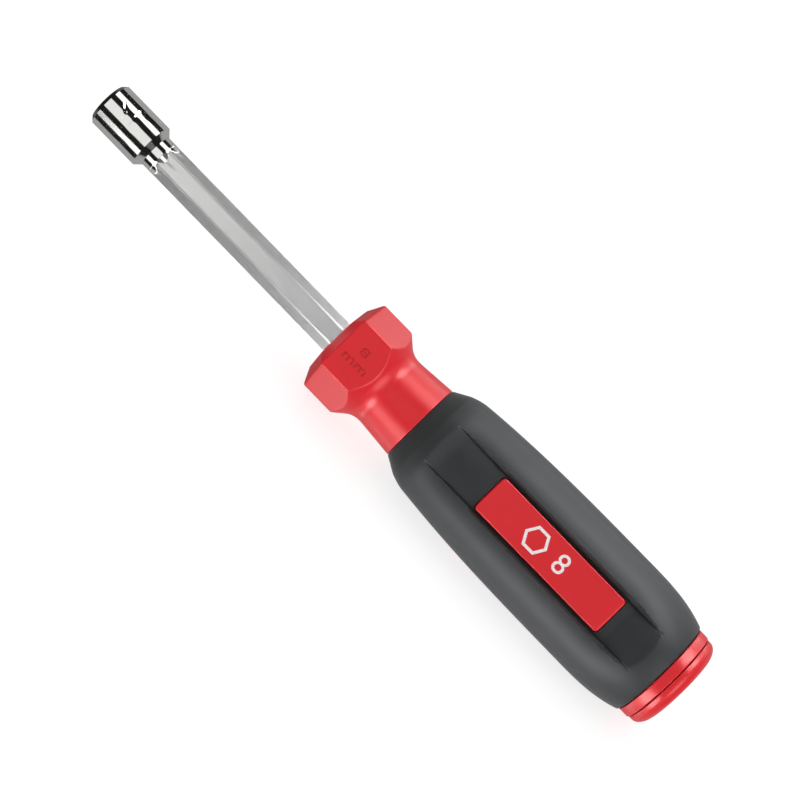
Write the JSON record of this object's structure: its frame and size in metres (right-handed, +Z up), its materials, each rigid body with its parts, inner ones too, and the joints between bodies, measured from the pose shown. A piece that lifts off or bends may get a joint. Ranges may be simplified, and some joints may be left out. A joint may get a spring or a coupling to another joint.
{
  "type": "nut driver",
  "caption": "Hand nut driver with a magnetic hexagonal socket on a hollow hexagonal shaft and a three-lobed red handle with a black soft grip.",
  "frame": {"origin": "on the surface the tool lies on, below the middle of its length", "axes": "+X along the tool from the socket to the end cap, +Z up, with one label channel facing down"},
  "size_m": [0.1888, 0.031, 0.0307],
  "materials": {
    "polished_chrome": "mirror polished chrome plate",
    "satin_plated_steel": "satin nickel-chrome plate",
    "nickel_plated_magnet": "dull nickel plate over a sintered magnet",
    "zinc_plated_washer": "bright zinc plate",
    "natural_nylon": "unpainted nylon",
    "red_plastic": "hard moulded plastic, semi-gloss",
    "black_soft_grip": "soft thermoplastic rubber, fine matt texture"
  },
  "bodies": {
    "root": {"socket": "polished_chrome", "magnet_retainer": "zinc_plated_washer", "magnet_ring": "nickel_plated_magnet", "hex_shaft": "satin_plated_steel", "inner_core": "natural_nylon", "handle_body": "red_plastic", "grip_sleeve": "black_soft_grip", "end_cap": "red_plastic"}
  },
  "joints": []
}
